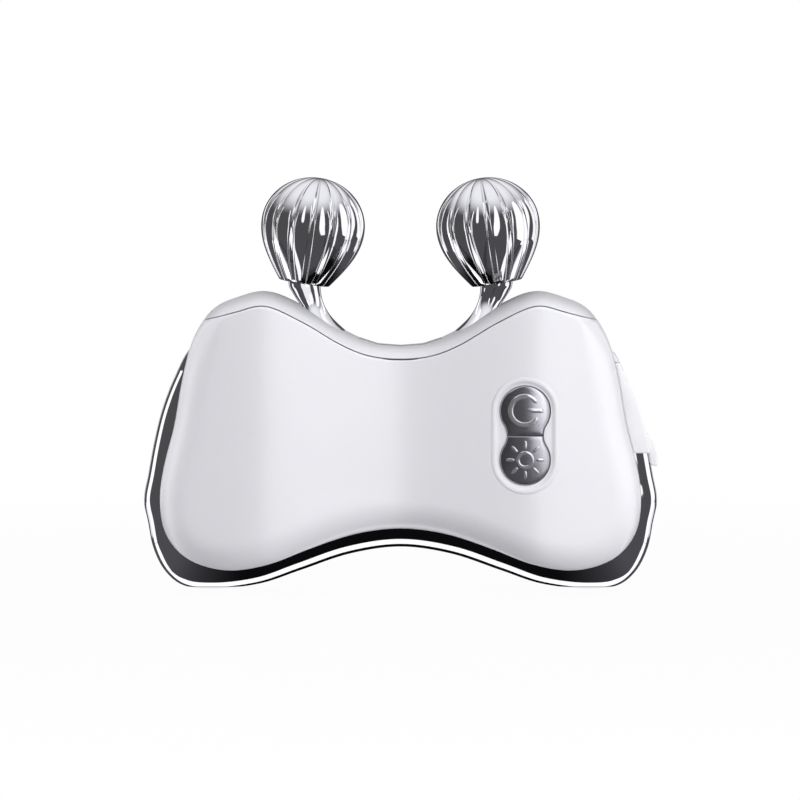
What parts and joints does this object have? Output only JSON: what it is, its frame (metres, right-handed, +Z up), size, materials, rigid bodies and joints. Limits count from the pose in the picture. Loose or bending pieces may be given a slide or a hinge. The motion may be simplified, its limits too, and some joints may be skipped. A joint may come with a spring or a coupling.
{
  "type": "facial roller massager",
  "caption": "Palm-sized facial roller massager: saddle-shaped housing with fluted chrome rollers on posts, a chrome scraping plate, push buttons and a charging port.",
  "frame": {"origin": "middle of the bounding box at its bottom, with the part upright as it is held", "axes": "+X to the right seen from the front, -Y out of the front with the buttons, +Y out of the chrome back, +Z up along the rollers"},
  "size_m": [0.101, 0.0263, 0.0811],
  "materials": {
    "cover_white": "satin",
    "cover_grey": "satin",
    "chrome": "polished",
    "chrome_plastic": "polished",
    "steel": "satin",
    "brass": "satin",
    "nylon": "matte",
    "silicone": "matte",
    "black_plastic": "matte",
    "circuit_board": "satin",
    "lens": "satin",
    "cell_foil": "satin",
    "foam_tape": "matte",
    "red_lead": "satin"
  },
  "bodies": {
    "housing": {"front_cover": "cover_white", "rear_cover": "cover_grey", "light_window": "lens", "scraping_plate": "chrome", "plate_adhesive": "foam_tape", "housing_screw_1": "steel", "housing_screw_2": "steel", "housing_screw_3": "steel", "housing_screw_4": "steel", "button_bezel": "cover_grey", "power_switch": "black_plastic", "light_switch": "black_plastic", "control_board": "circuit_board", "board_screw_1": "steel", "board_screw_2": "steel", "board_screw_3": "steel", "control_chip": "black_plastic", "pulse_coil": "brass", "battery": "cell_foil", "battery_pad": "foam_tape", "battery_lead_red": "red_lead", "battery_lead_black": "black_plastic", "light_board": "circuit_board", "led_left": "lens", "led_middle": "lens", "led_right": "lens", "port_board": "circuit_board", "charging_port": "steel", "port_cover_anchor": "silicone", "roller_post_left": "chrome", "post_nut_left": "steel", "contact_tab_left": "brass", "roller_axle_left": "steel", "axle_clip_left": "steel", "roller_post_right": "chrome", "post_nut_right": "steel", "contact_tab_right": "brass", "roller_axle_right": "steel", "axle_clip_right": "steel"},
    "power_key": {"power_button": "chrome_plastic", "power_plunger": "nylon"},
    "light_key": {"light_button": "chrome_plastic", "light_plunger": "nylon"},
    "port_flap": {"port_cover": "silicone"},
    "left_roller": {"roller_ball_left": "chrome", "roller_hub_left": "nylon", "lower_bush_left": "brass", "upper_bush_left": "brass"},
    "right_roller": {"roller_ball_right": "chrome", "roller_hub_right": "nylon", "lower_bush_right": "brass", "upper_bush_right": "brass"}
  },
  "joints": [
    {"name": "power_press", "type": "slide", "parent": "housing", "child": "power_key", "axis": [0, 1, 0], "range_m": [0, 0.0005], "stiffness_N_per_m": 1500},
    {"name": "light_press", "type": "slide", "parent": "housing", "child": "light_key", "axis": [0, 1, 0], "range_m": [0, 0.0005], "stiffness_N_per_m": 1500},
    {"name": "port_flap_bend", "type": "hinge", "parent": "housing", "child": "port_flap", "pos_m": [0.0424, 0.0035, 0.04545], "axis": [0, -1, 0], "range_deg": [0, 80], "stiffness_Nm_per_rad": 0.002},
    {"name": "left_roller_spin", "type": "hinge", "parent": "housing", "child": "left_roller", "pos_m": [-0.0187, 0, 0.0607], "axis": [0.1582, 0, 0.9874], "continuous": true},
    {"name": "right_roller_spin", "type": "hinge", "parent": "housing", "child": "right_roller", "pos_m": [0.0187, 0, 0.0607], "axis": [-0.1582, 0, 0.9874], "continuous": true}
  ]
}
